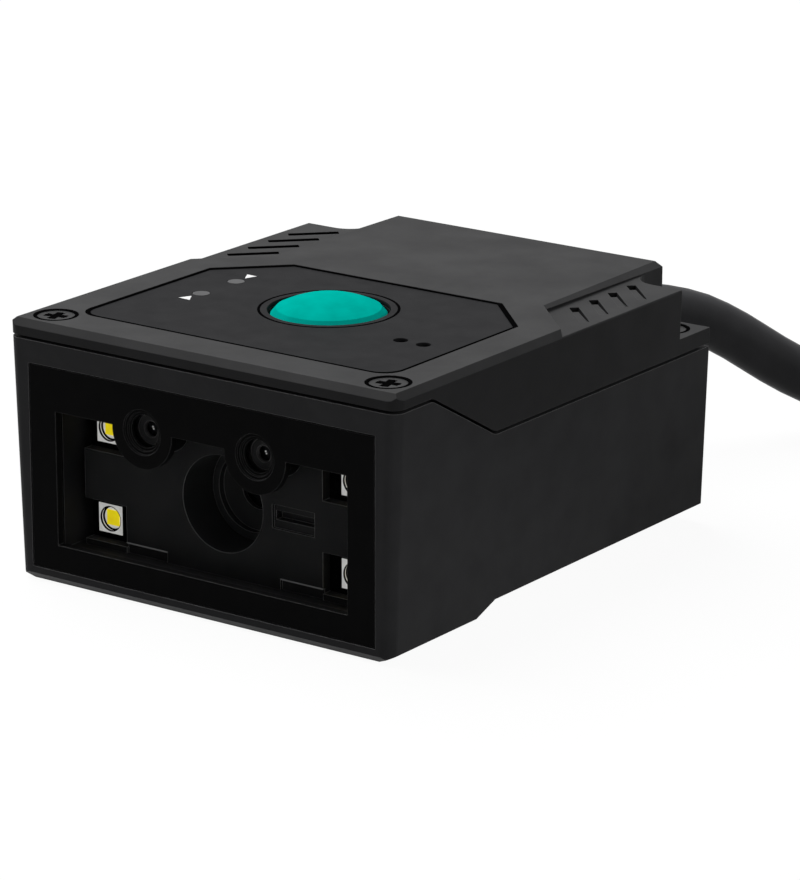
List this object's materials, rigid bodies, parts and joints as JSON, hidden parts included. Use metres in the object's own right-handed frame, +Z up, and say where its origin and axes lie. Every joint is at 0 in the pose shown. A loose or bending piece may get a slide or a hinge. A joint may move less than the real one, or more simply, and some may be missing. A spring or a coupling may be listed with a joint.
{
  "type": "fixed barcode reader",
  "caption": "Compact fixed barcode reader: moulded housing with a front window over a scan engine, a round scan button on top and a fixed cable at the rear.",
  "frame": {"origin": "middle of the housing's footprint at the level of its foot", "axes": "+Z up, window facing -Y, cable leaving towards +Y"},
  "size_m": [0.1484, 0.1076, 0.0301],
  "materials": {
    "housing_plastic": "fine moulded grain",
    "cover_plastic": "fine moulded grain",
    "black_rubber": "matte",
    "dark_screw_steel": "black oxide",
    "screw_steel": "plain",
    "panel_film": "satin film",
    "teal_plastic": "satin",
    "switch_plastic": "matte",
    "light_pipe_plastic": "translucent grey",
    "led_white": "white moulded package",
    "phosphor_yellow": "coated",
    "window_glass": "smoked clear",
    "bezel_black": "black print",
    "engine_black": "matte black",
    "barrel_black": "matte black",
    "lens_glass": "coated",
    "sensor_glass": "polished",
    "circuit_board": "solder resist",
    "flex_film": "amber film",
    "chip_black": "moulded",
    "connector_white": "moulded",
    "wire_red": "insulation",
    "insert_brass": "knurled",
    "cable_sheath": "satin sheath",
    "tie_fabric": "hook and loop",
    "plug_plastic": "moulded",
    "plug_steel": "plated"
  },
  "bodies": {
    "reader": {"lower_housing": "housing_plastic", "top_cover": "cover_plastic", "cover_gasket": "black_rubber", "cover_screws": "dark_screw_steel", "label_panel": "panel_film", "scan_switch": "switch_plastic", "power_light_pipe": "light_pipe_plastic", "status_light_pipe": "light_pipe_plastic", "indicator_leds": "led_white", "buzzer": "switch_plastic", "window_pane": "window_glass", "window_bezel": "bezel_black", "window_gasket": "black_rubber", "engine_chassis": "engine_black", "engine_screws": "screw_steel", "engine_board": "circuit_board", "image_sensor": "sensor_glass", "camera_lens_barrel": "barrel_black", "camera_lens": "lens_glass", "left_aimer_barrel": "barrel_black", "right_aimer_barrel": "barrel_black", "left_aimer_lens": "lens_glass", "right_aimer_lens": "lens_glass", "led_boards": "circuit_board", "illumination_leds": "led_white", "led_phosphors": "phosphor_yellow", "engine_flex": "flex_film", "main_board": "circuit_board", "board_screws": "screw_steel", "processor_chip": "chip_black", "memory_chip": "chip_black", "cable_connector": "connector_white", "cable_wires": "wire_red", "mounting_inserts": "insert_brass", "strain_relief": "black_rubber", "cable_lead": "cable_sheath", "cable_coil": "cable_sheath", "coil_tie": "tie_fabric", "cable_tail": "cable_sheath", "plug_body": "plug_plastic", "plug_shell": "plug_steel", "plug_tongue": "connector_white"},
    "button": {"scan_button": "teal_plastic", "switch_plunger": "switch_plastic"}
  },
  "joints": [
    {"name": "button_press", "type": "slide", "parent": "reader", "child": "button", "axis": [0, 0, -1], "range_m": [0, 0.0008], "stiffness_N_per_m": 2500}
  ]
}
